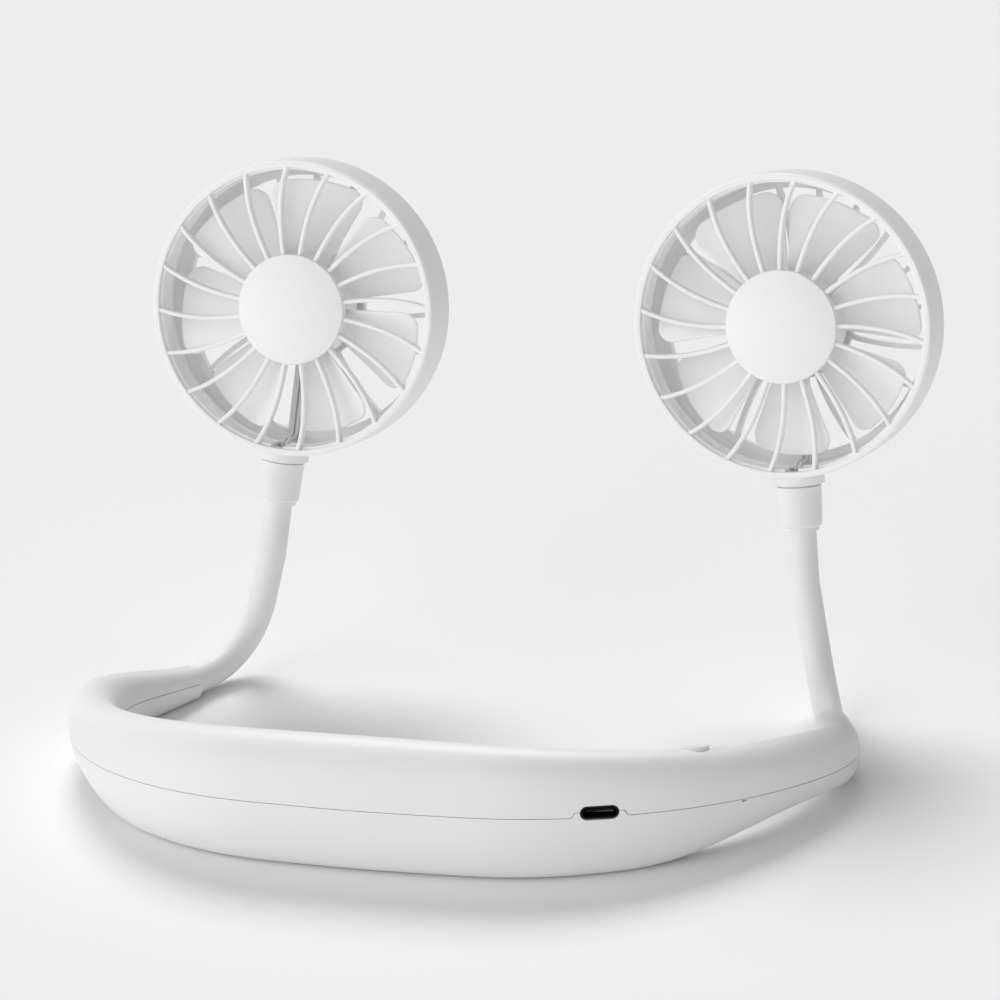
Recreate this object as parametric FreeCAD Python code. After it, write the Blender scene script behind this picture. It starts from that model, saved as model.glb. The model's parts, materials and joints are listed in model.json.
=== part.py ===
import FreeCAD, Part
import math
import os
from FreeCAD import Placement, Rotation, Vector

# Neck fan: a U-shaped neck band lies on its flat underside, a bendable gooseneck rises from each end of it,
# and each gooseneck carries a round fan head. Millimetres, X to the right, Y from the closed front of the
# band to its open end, Z up, origin on the underside in the middle of the front.

# Neck band: plan of its middle line as arcs, and its sections
band_front_radius = 550.0
band_front_turn_deg = 2.8
band_shoulder_radius = 74.5
band_shoulder_turn_deg = 70.5
band_corner_radius = 31.2
band_corner_turn_deg = 113.0
band_arm_length = 18.0
band_front_height = 32.6
band_mouth_height = 8.4
band_height_fall_power = 0.9
band_front_thickness = 18.0
band_mouth_thickness = 8.8
band_thickness_fall_power = 1.3
band_section_power = 2.35
band_section_points = 12
band_wall = 1.8
foot_depth = 0.3
underside_lift = 4.7
underside_lift_start = 64.0
underside_lift_end = 144.0
crest_rise = 1.3
crest_rise_start = 85.0
band_sections_a_side = 14

# Seam between the two band shells, with a lip inside it and a step round the charging port
seam_front_height = 16.8
seam_fall_deg = 7.9
seam_gap = 0.16
lip_height = 1.4
lip_root = 1.0
lip_clearance = 0.1
lip_wall_share = 0.5
step_half_width = 5.7
step_rise = 0.15
step_ramp = 1.0
pry_notch_station = 89.0
pry_notch_width = 1.6
pry_notch_height = 0.7
pry_notch_depth = 0.8

# Charging receptacle, in a slot through the outer wall
port_station = 56.3
port_over_seam = 1.05
usb_width = 8.94
usb_height = 3.16
usb_length = 7.35
usb_metal = 0.3
usb_recess = 0.4
usb_slot_clearance = 0.15
tongue_width = 6.69
tongue_thickness = 0.7
tongue_set_back = 1.3

# Control board and what stands on it
board_thickness = 1.2
board_left = 10.0
board_margin = 0.5
board_outer_edge = 0.6
board_inner_edge = 5.4
board_tab_half_width = 5.6
board_tab_reach = 5.4
switch_size = 5.0
switch_height = 3.4
switch_plunger_diameter = 3.0
switch_plunger_height = 1.0

# Power button on the top of the right shoulder, a little inside its crest
button_station = 82.0
button_inset = 2.5
button_diameter = 6.6
button_rise = 0.85
button_travel = 0.5
button_flange = 0.9
button_flange_width = 4.0
button_flange_height = 1.0
button_flange_drop = 1.0
button_clearance = 0.12
button_rest_gap = 0.1
button_top_reach = 8.0

# Battery and the ribs that carry it and the board
battery_station = -2.0
battery_length = 60.0
battery_height = 18.0
battery_thickness = 9.0
battery_floor = 7.2
battery_edge_radius = 1.6
rib_thickness = 1.4
battery_rib_shares = (-0.36, 0.0, 0.36)
board_rib_places = (-6.5, 18.0)
lead_diameter = 1.2
lead_spacing = 2.0
lead_rise = 5.0
lead_reach = 8.0
lead_lap = 2.0
lead_bend_radius = 3.0

# Gooseneck: silicone sleeve, bendable core and a pair of leads, along two bends
neck_diameter = 7.2
neck_bore = 5.0
neck_inside_band = 8.0
neck_inside_collar = 4.0
neck_lower_run = 21.5
neck_middle_run = 28.0
neck_middle_tilt_deg = 10.8
neck_middle_lean_deg = 11.8
neck_upper_run = 14.0
neck_knee_radius = 20.0
neck_crook_radius = 41.0
neck_sway_deg = 2.4
neck_fit = 0.1
core_diameter = 1.8
core_offset = 1.3
motor_lead_diameter = 0.8
motor_lead_offset = 0.75
motor_lead_spacing = 0.95
mouth_ring_diameter = 8.3
mouth_ring_length = 1.0
mouth_ring_edge = 0.25

# Fan head: turn and tilt of its axis, and the drum
head_turn_deg = 3.1
head_tilt_deg = 12.7
head_lean_deg = 5.7
head_diameter = 75.0
head_front_depth = 7.4
head_rear_depth = 9.0
drum_wall = 1.2
drum_edge_radius = 3.0
drum_rear_flange = 4.6
drum_rear_thickness = 2.2

# Collar under the head
saddle_diameter = 12.9
saddle_edge_radius = 0.5
saddle_height = 2.2
collar_groove = 0.4
collar_top_diameter = 11.1
collar_bottom_diameter = 10.3
collar_length = 10.1
collar_edge_radius = 0.8
spigot_diameter = 7.6
spigot_bore = 4.0
spigot_foot_gap = 0.3
collar_ring_diameter = 8.8
collar_ring_height = 0.9

# Front grille
ring_width = 2.2
ring_thickness = 1.6
ring_edge_radius = 1.3
skirt_wall = 0.9
skirt_end_share = 0.6
skirt_clearance = 0.06
grille_rib_count = 20
grille_rib_width = 1.1
grille_rib_depth = 2.6
grille_rib_sweep_deg = 7.5
grille_rib_phase_deg = 1.5
grille_rib_bend_share = 0.29
grille_rib_set_back = 0.3
grille_rib_ring_lap_share = 0.33
cap_diameter = 28.0
cap_dome = 2.3
cap_rim = 0.5
cap_thickness = 2.0
lead_notch = 3.4

# Rear grille and motor seat
rear_rib_count = 20
rear_rib_width = 1.2
rear_rib_sweep_deg = -5.0
rear_hub_diameter = 29.0
rear_spoke_width = 4.0
motor_seat_wall = 1.3
motor_seat_height = 1.5

# Motor and impeller
motor_diameter = 21.0
motor_front = 1.2
motor_bore = 2.6
bush_diameter = 5.0
bush_length = 3.6
shaft_diameter = 2.0
shaft_running_clearance = 0.03
shaft_rear_end = 5.6
hub_diameter = 27.2
hub_front = 3.6
hub_rear = 4.4
hub_wall = 1.5
hub_front_wall = 1.8
hub_edge_radius = 1.2
shaft_grip = 1.4
blade_count = 7
blade_thickness = 1.0
blade_tip_radius = 32.6
blade_middle = 0.5
blade_span_deg = 37.0
blade_corner_radius = 5.5
blade_pitch_root_deg = 40.0
blade_pitch_tip_deg = 22.0
blade_bury = 1.0
left_blade_phase_deg = 1.5
right_blade_phase_deg = 28.0
head_lead_diameter = 0.9
head_lead_half_spacing = 0.6
head_lead_inset = 2.9
head_lead_bend = 1.4
head_lead_back = 6.25

# One overrun serves all cuts
overrun = 4.0

up = Vector(0, 0, 1)
along_x = Vector(1, 0, 0)
along_y = Vector(0, 1, 0)
head_radius = head_diameter / 2
front_face = -head_front_depth
rear_face = head_rear_depth


def polar(radius, angle_deg):
    """A point of the plane X Z, by its angle clockwise from up as seen from the front."""
    angle = math.radians(angle_deg)
    return Vector(radius * math.sin(angle), 0, radius * math.cos(angle))


def cylinder_y(radius, start, end):
    return Part.makeCylinder(radius, end - start, Vector(0, start, 0), along_y)


def revolved(edges):
    """The solid that a closed profile in the plane X Y sweeps round the Y axis."""
    return Part.Face(Part.Wire(edges)).revolve(Vector(0, 0, 0), along_y, 360)


def lines(points):
    return [Part.makeLine(a, b) for a, b in zip(points, points[1:])]


def quarter(start, end, corner):
    """A round corner from start to end, tangent to the lines that meet at the corner point."""
    diagonal = (start + end) * 0.5 - corner
    middle = corner + diagonal * (2 - math.sqrt(2))
    return Part.Arc(start, middle, end).toShape()


def rounded_path(points, radii):
    """Straight runs through the points, joined by tangent arcs of the given radii."""
    edges = []
    start = points[0]
    for before, corner, after, radius in zip(points, points[1:], points[2:], radii):
        inward = (before - corner).normalize()
        onward = (after - corner).normalize()
        half_turn = (math.pi - inward.getAngle(onward)) / 2
        tangent = radius * math.tan(half_turn)
        bisector = (inward + onward).normalize()
        bulge = radius / math.cos(half_turn) - radius
        arc_start = corner + inward * tangent
        arc_end = corner + onward * tangent
        edges.append(Part.makeLine(start, arc_start))
        edges.append(Part.Arc(arc_start, corner + bisector * bulge, arc_end).toShape())
        start = arc_end
    edges.append(Part.makeLine(start, points[-1]))
    return Part.Wire(edges)


def swept_rod(path, diameter):
    first = path.Edges[0]
    start = first.valueAt(first.FirstParameter)
    direction = first.tangentAt(first.FirstParameter)
    ring = Part.Wire(Part.makeCircle(diameter / 2, start, direction))
    return path.makePipeShell([ring], True, True)


def moved(shape, offset):
    copy = shape.copy()
    copy.translate(offset)
    return copy


def turned_y(shape, angle_deg):
    copy = shape.copy()
    copy.rotate(Vector(0, 0, 0), along_y, angle_deg)
    return copy


# Neck band


def band_segments():
    """The right half of the band's middle line: start length, length, turn at its start and turn rate."""
    turn_marks = (0, band_front_turn_deg, band_shoulder_turn_deg, band_corner_turn_deg)
    radii = (band_front_radius, band_shoulder_radius, band_corner_radius)
    segments = []
    start = 0
    for turn, next_turn, radius in zip(turn_marks, turn_marks[1:], radii):
        length = radius * math.radians(next_turn - turn)
        segments.append((start, length, math.radians(turn), 1 / radius))
        start += length
    segments.append((start, band_arm_length, math.radians(band_corner_turn_deg), 0))
    return segments


def band_frame(station):
    """Place on the middle line at a length from the front: X along the band, Y inwards, Z up."""
    place = Vector(0, 0, 0)
    turn = 0
    for start, length, turn_there, rate in band_segments():
        run = min(length, abs(station) - start)
        if run < 0:
            break
        turn = turn_there + rate * run
        if rate:
            place = place + Vector(math.sin(turn) - math.sin(turn_there),
                                   math.cos(turn_there) - math.cos(turn), 0) * (1 / rate)
        else:
            place = place + Vector(math.cos(turn), math.sin(turn), 0) * run
    side = -1 if station < 0 else 1
    return Placement(Vector(side * place.x, place.y, 0), Rotation(up, math.degrees(side * turn)))


band_half_length = band_segments()[-1][0] + band_arm_length
mouth_reach = band_frame(band_half_length).Base.y


def swell(station, start, end):
    """A smooth hump along the band: 0 at its start and end, 1 half way."""
    share = min(1, max(0, (abs(station) - start) / (end - start)))
    return math.sin(math.pi * share) ** 2


def band_height(station):
    fall = band_front_height - band_mouth_height
    share = band_frame(station).Base.y / mouth_reach
    rise = crest_rise * swell(station, crest_rise_start, band_half_length)
    return band_front_height - fall * share ** band_height_fall_power + rise


def band_foot(station):
    """Height of the underside: flat at the front and the ends, arched under the shoulders."""
    return underside_lift * swell(station, underside_lift_start, underside_lift_end) - foot_depth


def band_thickness(station):
    fall = band_front_thickness - band_mouth_thickness
    return band_front_thickness - fall * (abs(station) / band_half_length) ** band_thickness_fall_power


def band_stations():
    steps = range(-band_sections_a_side, band_sections_a_side + 1)
    return [band_half_length * step / band_sections_a_side for step in steps]


def band_section(station, inset):
    """Rounded oval across the band, from its crest; inset moves it inside the outer surface."""
    frame = band_frame(station)
    half_thickness = band_thickness(station) / 2 - inset
    half_height = (band_height(station) - band_foot(station)) / 2 - inset
    middle = (band_height(station) + band_foot(station)) / 2
    points = []
    for i in range(band_section_points):
        angle = 2 * math.pi * i / band_section_points + math.pi / 2
        across = math.copysign(abs(math.cos(angle)) ** (2 / band_section_power), math.cos(angle))
        rise = math.copysign(abs(math.sin(angle)) ** (2 / band_section_power), math.sin(angle))
        local = Vector(0, half_thickness * across, middle + half_height * rise)
        points.append(frame.multVec(local))
    curve = Part.BSplineCurve()
    curve.interpolate(points, PeriodicFlag=True)
    return Part.Wire(curve.toShape())


def band_loft(inset, stations):
    return Part.makeLoft([band_section(station, inset) for station in stations], True, False)


band_span = 2 * band_half_length
seam_rotation = Rotation(along_x, -seam_fall_deg)


def seam_slab(low, high):
    """Everything between two heights measured square to the seam plane."""
    slab = Part.makeBox(band_span, band_span, high - low)
    slab.translate(Vector(-band_span / 2, -band_span / 2, low))
    slab.Placement = Placement(Vector(0, 0, seam_front_height), seam_rotation).multiply(slab.Placement)
    return slab


def seam_height_at(point):
    return seam_front_height - math.tan(math.radians(seam_fall_deg)) * point.y


port_face = -band_thickness(port_station) / 2
level_port_frame = band_frame(port_station)
port_height = seam_height_at(level_port_frame.multVec(Vector(0, port_face, 0))) + port_over_seam
port_fall = math.tan(math.radians(seam_fall_deg)) * level_port_frame.Rotation.multVec(along_x).y
port_frame = level_port_frame.multiply(
    Placement(Vector(0, 0, 0), Rotation(along_y, math.degrees(math.atan(port_fall))), up * port_height))
board_top = port_height - usb_height / 2


def oblong(width, height, start, end):
    """A bar of slot-shaped section along Y, centred on the Y axis."""
    radius = height / 2
    reach = width / 2 - radius
    bar = Part.makeBox(2 * reach, end - start, height, Vector(-reach, start, -radius))
    ends = [Part.makeCylinder(radius, end - start, Vector(side * reach, start, 0), along_y)
            for side in (-1, 1)]
    return bar.multiFuse(ends).removeSplitter()


def at_port(shape):
    shape.Placement = port_frame.multiply(Placement(Vector(0, 0, port_height), Rotation()))
    return shape


def usb_shell():
    front = port_face + usb_recess
    outer = oblong(usb_width, usb_height, front, front + usb_length)
    inner = oblong(usb_width - 2 * usb_metal, usb_height - 2 * usb_metal, front - overrun,
                   front + usb_length - usb_metal)
    return at_port(outer.cut(inner))


def usb_tongue():
    front = port_face + usb_recess + tongue_set_back
    back = port_face + usb_recess + usb_length - usb_metal
    box = Part.makeBox(tongue_width, back - front, tongue_thickness,
                       Vector(-tongue_width / 2, front, -tongue_thickness / 2))
    return at_port(box)


def in_port_frame(shape):
    shape.Placement = port_frame.multiply(shape.Placement)
    return shape


# The button stands square on the sloping top of the band; its switch is under the middle of its flange
button_band = band_frame(button_station)
button_before = band_height(button_station - button_diameter / 2)
button_after = band_height(button_station + button_diameter / 2)
button_slope = math.atan((button_before - button_after) / button_diameter)
button_half_height = (band_height(button_station) - band_foot(button_station)) / 2
button_across = button_inset / (band_thickness(button_station) / 2)
button_left = 1 - button_across ** band_section_power
button_drop = button_half_height * (1 - button_left ** (1 / band_section_power))
button_tilt = math.atan(button_half_height / button_inset * button_across ** band_section_power
                        * button_left ** (1 / band_section_power - 1))
button_rotation = button_band.Rotation.multiply(Rotation(along_y, math.degrees(button_slope)))
button_seat = Vector(0, button_inset, band_height(button_station) - button_drop)
button_frame = Placement(button_band.multVec(button_seat),
                         button_rotation.multiply(Rotation(along_x, -math.degrees(button_tilt))))
button_bottom = -band_wall - button_flange_drop - button_flange_height
flange_middle = button_frame.multVec(up * button_bottom)
below_button = port_frame.inverse().multVec(flange_middle)
switch_place = Vector(below_button.x, below_button.y, board_top)
plunger_top = port_frame.multVec(switch_place + up * (switch_height + switch_plunger_height)).z
switch_reach = switch_size / 2 + board_margin


def control_board():
    outline = [Vector(-board_left, board_outer_edge, 0), Vector(-board_tab_half_width, board_outer_edge, 0),
               Vector(-board_tab_half_width, -board_tab_reach, 0),
               Vector(board_tab_half_width, -board_tab_reach, 0),
               Vector(board_tab_half_width, board_outer_edge, 0),
               Vector(switch_place.x + switch_reach, board_outer_edge, 0),
               Vector(switch_place.x + switch_reach, switch_place.y + switch_reach, 0),
               Vector(switch_place.x - switch_reach, switch_place.y + switch_reach, 0),
               Vector(switch_place.x - switch_reach, board_inner_edge, 0),
               Vector(-board_left, board_inner_edge, 0)]
    face = Part.Face(Part.makePolygon(outline + outline[:1]))
    board = face.extrude(Vector(0, 0, board_thickness))
    board.translate(Vector(0, 0, board_top - board_thickness))
    return in_port_frame(board)


def button_switch():
    half = switch_size / 2
    body = Part.makeBox(switch_size, switch_size, switch_height, Vector(-half, -half, 0))
    plunger = Part.makeCylinder(switch_plunger_diameter / 2, switch_plunger_height,
                                Vector(0, 0, switch_height))
    switch = body.fuse(plunger)
    switch.translate(switch_place)
    return in_port_frame(switch)


def power_button():
    """A low round cap, two catches along the band under the shell and an upright stem down to the switch."""
    cap = Part.makeCylinder(button_diameter / 2, button_rise - button_bottom, up * button_bottom)
    wing = button_diameter / 2 + button_flange
    flange = Part.makeBox(2 * wing, button_flange_width, button_flange_height,
                          Vector(-wing, -button_flange_width / 2, button_bottom))
    button = cap.fuse(flange)
    button.Placement = button_frame
    near = [button_station + button_top_reach * step for step in (-1, 0, 1)]
    button = button.common(band_loft(-button_rise, near))
    stem_foot = Vector(flange_middle.x, flange_middle.y, plunger_top + button_travel + button_rest_gap)
    stem_length = flange_middle.z - stem_foot.z + button_flange_height / 2
    stem = Part.makeCylinder(switch_plunger_diameter / 2, stem_length, stem_foot)
    return button.fuse(stem).removeSplitter()


def button_hole():
    radius = button_diameter / 2 + button_clearance
    hole = Part.makeCylinder(radius, band_front_height, up * (-band_wall - overrun))
    hole.Placement = button_frame
    return hole


def battery_cell():
    half_length = battery_length / 2
    cell = Part.makeBox(battery_length, battery_thickness, battery_height,
                        Vector(-half_length, -battery_thickness / 2, battery_floor))
    long_edges = [edge for edge in cell.Edges if edge.BoundBox.XLength > half_length]
    cell = cell.makeFillet(battery_edge_radius, long_edges)
    cell.Placement = band_frame(battery_station)
    return cell


def battery_leads():
    """Two wires, out of the end of the cell, down to the board and a little way along it."""
    cell_frame = band_frame(battery_station)
    cell_end = battery_length / 2
    high = board_top + lead_rise
    low = board_top + lead_diameter / 2
    wires = []
    for side in (-1, 1):
        shift = side * lead_spacing / 2
        on_board = (board_inner_edge + board_outer_edge) / 2 + shift
        points = [cell_frame.multVec(Vector(cell_end, shift, high)),
                  cell_frame.multVec(Vector(cell_end + lead_reach, shift, high)),
                  port_frame.multVec(Vector(-board_left - lead_bend_radius, on_board, low)),
                  port_frame.multVec(Vector(lead_lap - board_left, on_board, low))]
        wires.append(swept_rod(rounded_path(points, (lead_bend_radius, lead_bend_radius)), lead_diameter))
    return Part.makeCompound(wires)


def cradle_ribs():
    """Cross ribs of the lower shell, up to the cell and up to the underside of the board."""
    boxes = []
    depth = band_front_thickness
    for share in battery_rib_shares:
        rib = Part.makeBox(rib_thickness, depth, battery_floor,
                           Vector(share * battery_length - rib_thickness / 2, -depth / 2, 0))
        rib.Placement = band_frame(battery_station)
        boxes.append(rib)
    for place in board_rib_places:
        rib = Part.makeBox(rib_thickness, depth, board_top - board_thickness,
                           Vector(place - rib_thickness / 2, -depth / 2, 0))
        rib.Placement = port_frame
        boxes.append(rib)
    return boxes


# Gooseneck route, on the right; the left is its mirror image


def leaning(side, tilt_deg, lean_deg):
    """Turn that tilts back by one angle, and leans inwards by the other with both necks' common sway."""
    tilt = Rotation(along_x, -tilt_deg)
    lean = Rotation(along_y, neck_sway_deg - side * lean_deg)
    return tilt.multiply(lean)


def head_rotation(side):
    return Rotation(up, head_turn_deg).multiply(leaning(side, head_tilt_deg, head_lean_deg))


def mouth(side):
    frame = band_frame(side * band_half_length)
    return frame.multVec(up * (band_mouth_height / 2))


def mouth_direction(side):
    return band_frame(side * band_half_length).Rotation.multVec(Vector(side, 0, 0))


def neck_knee(side):
    return mouth(side) + mouth_direction(side) * neck_lower_run


def neck_crook(side):
    middle = leaning(side, neck_middle_tilt_deg, neck_middle_lean_deg)
    return neck_knee(side) + middle.multVec(up) * neck_middle_run


def collar_foot(side):
    return neck_crook(side) + head_rotation(side).multVec(up) * neck_upper_run


def neck_path(side, below, beyond):
    """The gooseneck's middle line, from below inside the band to beyond inside the collar."""
    start = mouth(side) - mouth_direction(side) * below
    end = collar_foot(side) + head_rotation(side).multVec(up) * beyond
    return rounded_path([start, neck_knee(side), neck_crook(side), end],
                        (neck_knee_radius, neck_crook_radius))


def neck_side_axis(side):
    return mouth_direction(side).cross(head_rotation(side).multVec(up)).normalize()


def sleeve(side):
    outer = swept_rod(neck_path(side, neck_inside_band, neck_inside_collar), neck_diameter)
    inner = swept_rod(neck_path(side, neck_inside_band + overrun, neck_inside_collar + overrun), neck_bore)
    return outer.cut(inner)


def bend_core(side):
    shift = neck_side_axis(side) * core_offset
    return moved(swept_rod(neck_path(side, neck_inside_band, neck_inside_collar), core_diameter), shift)


def motor_leads(side):
    wire = swept_rod(neck_path(side, neck_inside_band, neck_inside_collar), motor_lead_diameter)
    near = neck_side_axis(side) * -motor_lead_offset
    apart = neck_side_axis(side) * -motor_lead_spacing
    return Part.makeCompound([moved(wire, near), moved(wire, near + apart)])


def mouth_bore(side):
    return swept_rod(neck_path(side, neck_inside_band + overrun, 0), neck_diameter + 2 * neck_fit)


def mouth_ring(side):
    direction = mouth_direction(side)
    start = mouth(side)
    ring = Part.makeCylinder(mouth_ring_diameter / 2, mouth_ring_length, start, direction)
    front_edges = [edge for edge in ring.Edges
                   if (edge.BoundBox.Center - start).dot(direction) > mouth_ring_length / 2
                   and edge.Curve.TypeId == "Part::GeomCircle"]
    ring = ring.makeFillet(mouth_ring_edge, front_edges)
    bore = Part.makeCylinder(neck_diameter / 2 + neck_fit, mouth_ring_length + 2 * overrun,
                             start - direction * overrun, direction)
    return ring.cut(bore)


def band_shells():
    """Upper and lower shell: one hollow band parted along the seam, with a lip inside the lower one."""
    stations = band_stations()
    hollow_stations = stations[1:-1]
    outer = band_loft(0, stations)
    inner = band_loft(band_wall, hollow_stations)
    lip_inset = band_wall * lip_wall_share
    groove_loft = band_loft(lip_inset, hollow_stations[1:-1])
    lip_loft = band_loft(lip_inset + lip_clearance, hollow_stations[1:-1])
    floor_box = Part.makeBox(band_span, band_span, band_span, Vector(-band_span / 2, -band_span / 2, 0))
    body = outer.common(floor_box)
    wall = body.cut(inner)
    half_gap = seam_gap / 2
    upper = wall.common(seam_slab(half_gap, band_front_height))
    lower = wall.common(seam_slab(-band_front_height, -half_gap))
    groove = groove_loft.common(seam_slab(0, lip_height + lip_clearance))
    upper = upper.cut(groove)
    lip = lip_loft.cut(inner).common(seam_slab(-lip_root, lip_height))
    ribs = [rib.common(body).common(seam_slab(-band_front_height, -half_gap)) for rib in cradle_ribs()]
    lower = lower.multiFuse([lip] + ribs)
    step = step_block(0)
    lower = lower.fuse(wall.common(step))
    upper = upper.cut(step_block(seam_gap))
    for side in (-1, 1):
        upper = upper.cut(mouth_bore(side))
        lower = lower.cut(mouth_bore(side))
    slot = at_port(oblong(usb_width + 2 * usb_slot_clearance, usb_height + 2 * usb_slot_clearance,
                          port_face - overrun, port_face + usb_length))
    upper = upper.cut(slot).cut(button_hole())
    lower = lower.cut(slot).cut(pry_notch())
    return upper, lower


def step_block(margin):
    """The part of the lower shell that rises above the seam round the charging port."""
    low = -port_over_seam - seam_gap
    high = step_rise + margin
    foot = step_half_width + step_ramp + margin
    top = step_half_width + margin
    front = port_face - overrun / 2
    outline = [Vector(-foot, front, low), Vector(foot, front, low), Vector(top, front, high),
               Vector(-top, front, high)]
    block = Part.Face(Part.makePolygon(outline + outline[:1])).extrude(along_y * (band_wall + overrun))
    block.Placement = port_frame.multiply(Placement(up * port_height, Rotation()))
    return block


def pry_notch():
    frame = band_frame(pry_notch_station)
    face = -band_thickness(pry_notch_station) / 2
    top = seam_height_at(frame.multVec(Vector(0, face, 0)))
    notch = Part.makeBox(pry_notch_width, pry_notch_depth + overrun, pry_notch_height,
                         Vector(-pry_notch_width / 2, face - overrun, top - pry_notch_height))
    notch.Placement = frame.multiply(notch.Placement)
    return notch


# Fan head, in its own frame: Y backwards along the fan's axis, Z up, neck axis on Z


def head_frame(side):
    rotation = head_rotation(side)
    reach = collar_length + collar_groove + saddle_height + head_radius
    return Placement(collar_foot(side) + rotation.multVec(up) * reach, rotation)


def swirl_ribs(count, phase_deg, sweep_deg, inner_radius, outer_radius, width, start, end):
    """Curved ribs that leave the hub radially and lean over towards the ring."""
    half_width_deg_at = [math.degrees(width / 2 / radius) for radius in
                         (inner_radius, (inner_radius + outer_radius) / 2, outer_radius)]
    middle_radius = (inner_radius + outer_radius) / 2
    middle_sweep = sweep_deg * grille_rib_bend_share
    sides = []
    for sign in (-1, 1):
        a = polar(inner_radius, sign * half_width_deg_at[0])
        b = polar(middle_radius, middle_sweep + sign * half_width_deg_at[1])
        c = polar(outer_radius, sweep_deg + sign * half_width_deg_at[2])
        sides.append((a, b, c))
    (a, b, c), (d, e, f) = sides
    outline = Part.Wire([Part.Arc(a, b, c).toShape(), Part.makeLine(c, f), Part.Arc(f, e, d).toShape(),
                         Part.makeLine(d, a)])
    rib = Part.Face(outline).extrude(Vector(0, end - start, 0))
    rib.translate(Vector(0, start, 0))
    return [turned_y(rib, phase_deg + 360 * i / count) for i in range(count)]


ring_inner = head_radius - ring_width
skirt_outer = head_radius - drum_wall - skirt_clearance
skirt_end = front_face + (head_front_depth + head_rear_depth) * skirt_end_share
ring_back = front_face + ring_thickness
spigot_length = collar_groove + collar_length - neck_inside_collar - spigot_foot_gap


def front_grille():
    edge = ring_edge_radius
    start = Vector(head_radius - edge, front_face, 0)
    end = Vector(head_radius, front_face + edge, 0)
    rim = [Part.makeLine(Vector(ring_inner, front_face, 0), start),
           quarter(start, end, Vector(head_radius, front_face, 0))]
    rim += lines([end, Vector(head_radius, ring_back, 0), Vector(skirt_outer, ring_back, 0),
                  Vector(skirt_outer, skirt_end, 0), Vector(skirt_outer - skirt_wall, skirt_end, 0),
                  Vector(skirt_outer - skirt_wall, ring_back, 0), Vector(ring_inner, ring_back, 0),
                  Vector(ring_inner, front_face, 0)])
    ring = revolved(rim)
    cap_radius = cap_diameter / 2
    cap_edge = Vector(cap_radius, front_face - cap_rim, 0)
    crown = Vector(0, front_face - cap_rim - cap_dome, 0)
    dome_radius = (cap_radius ** 2 + cap_dome ** 2) / (2 * cap_dome)
    half_angle = math.asin(cap_radius / dome_radius) / 2
    shoulder = Vector(dome_radius * math.sin(half_angle),
                      crown.y + dome_radius * (1 - math.cos(half_angle)), 0)
    cap_back = front_face + cap_thickness
    cap = revolved([Part.Arc(crown, shoulder, cap_edge).toShape()]
                   + lines([cap_edge, Vector(cap_radius, cap_back, 0), Vector(0, cap_back, 0), crown]))
    ribs = swirl_ribs(grille_rib_count, grille_rib_phase_deg, grille_rib_sweep_deg,
                      cap_radius - grille_rib_width, ring_inner + ring_width * grille_rib_ring_lap_share,
                      grille_rib_width, front_face + grille_rib_set_back, front_face + grille_rib_depth)
    grille = ring.multiFuse([cap] + ribs).removeSplitter()
    notch = Part.makeBox(lead_notch, skirt_end - ring_back + overrun, 2 * ring_width,
                         Vector(-lead_notch / 2, -lead_notch / 2, -head_radius))
    return grille.cut(notch)


def rear_housing():
    edge = drum_edge_radius
    inner = head_radius - drum_wall
    flange = head_radius - drum_rear_flange
    rear_inside = rear_face - drum_rear_thickness
    start = Vector(head_radius, rear_face - edge, 0)
    end = Vector(head_radius - edge, rear_face, 0)
    profile = [Part.makeLine(Vector(head_radius, ring_back, 0), start),
               quarter(start, end, Vector(head_radius, rear_face, 0))]
    profile += lines([end, Vector(flange, rear_face, 0), Vector(flange, rear_inside, 0),
                      Vector(inner - edge / 2, rear_inside, 0), Vector(inner, rear_inside - edge / 2, 0),
                      Vector(inner, ring_back, 0), Vector(head_radius, ring_back, 0)])
    drum = revolved(profile)
    hub = cylinder_y(rear_hub_diameter / 2, rear_inside, rear_face)
    seat_outer = motor_diameter / 2 + motor_seat_wall
    seat = cylinder_y(seat_outer, rear_inside - motor_seat_height, rear_inside)
    seat = seat.cut(cylinder_y(motor_diameter / 2, rear_inside - motor_seat_height - overrun, rear_inside))
    seat = seat.cut(Part.makeBox(lead_notch, motor_seat_height, seat_outer,
                                 Vector(-lead_notch / 2, rear_inside - motor_seat_height, -seat_outer)))
    ribs = swirl_ribs(rear_rib_count, 0, rear_rib_sweep_deg, rear_hub_diameter / 2 - rear_rib_width,
                      flange + rear_rib_width, rear_rib_width, rear_inside, rear_face)
    spoke = Part.makeBox(rear_spoke_width, drum_rear_thickness, flange,
                         Vector(-rear_spoke_width / 2, rear_inside, -flange - rear_rib_width))
    pad_top = head_radius - drum_wall / 2
    pad = Part.makeCylinder(saddle_diameter / 2, saddle_height + saddle_diameter / 2,
                            Vector(0, 0, -head_radius - saddle_height))
    low_rim = [rim for rim in pad.Edges if rim.BoundBox.ZMax < -head_radius]
    pad = pad.makeFillet(saddle_edge_radius, low_rim[:1])
    pad = pad.cut(cylinder_y(pad_top, -saddle_diameter, saddle_diameter))
    pad = pad.cut(cylinder_y(head_radius + skirt_clearance, -saddle_diameter, ring_back))
    spigot_top = -head_radius - saddle_height
    spigot = Part.makeCylinder(spigot_diameter / 2, spigot_length + saddle_height,
                               Vector(0, 0, spigot_top - spigot_length))
    bore = Part.makeCylinder(spigot_bore / 2, spigot_length + saddle_height + 2 * drum_wall + overrun,
                             Vector(0, 0, spigot_top - spigot_length - overrun / 2))
    housing = drum.multiFuse([hub, seat, spoke, pad] + ribs)
    housing = housing.fuse(spigot.cut(cylinder_y(pad_top, -saddle_diameter, saddle_diameter)))
    return housing.cut(bore).removeSplitter()


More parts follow.
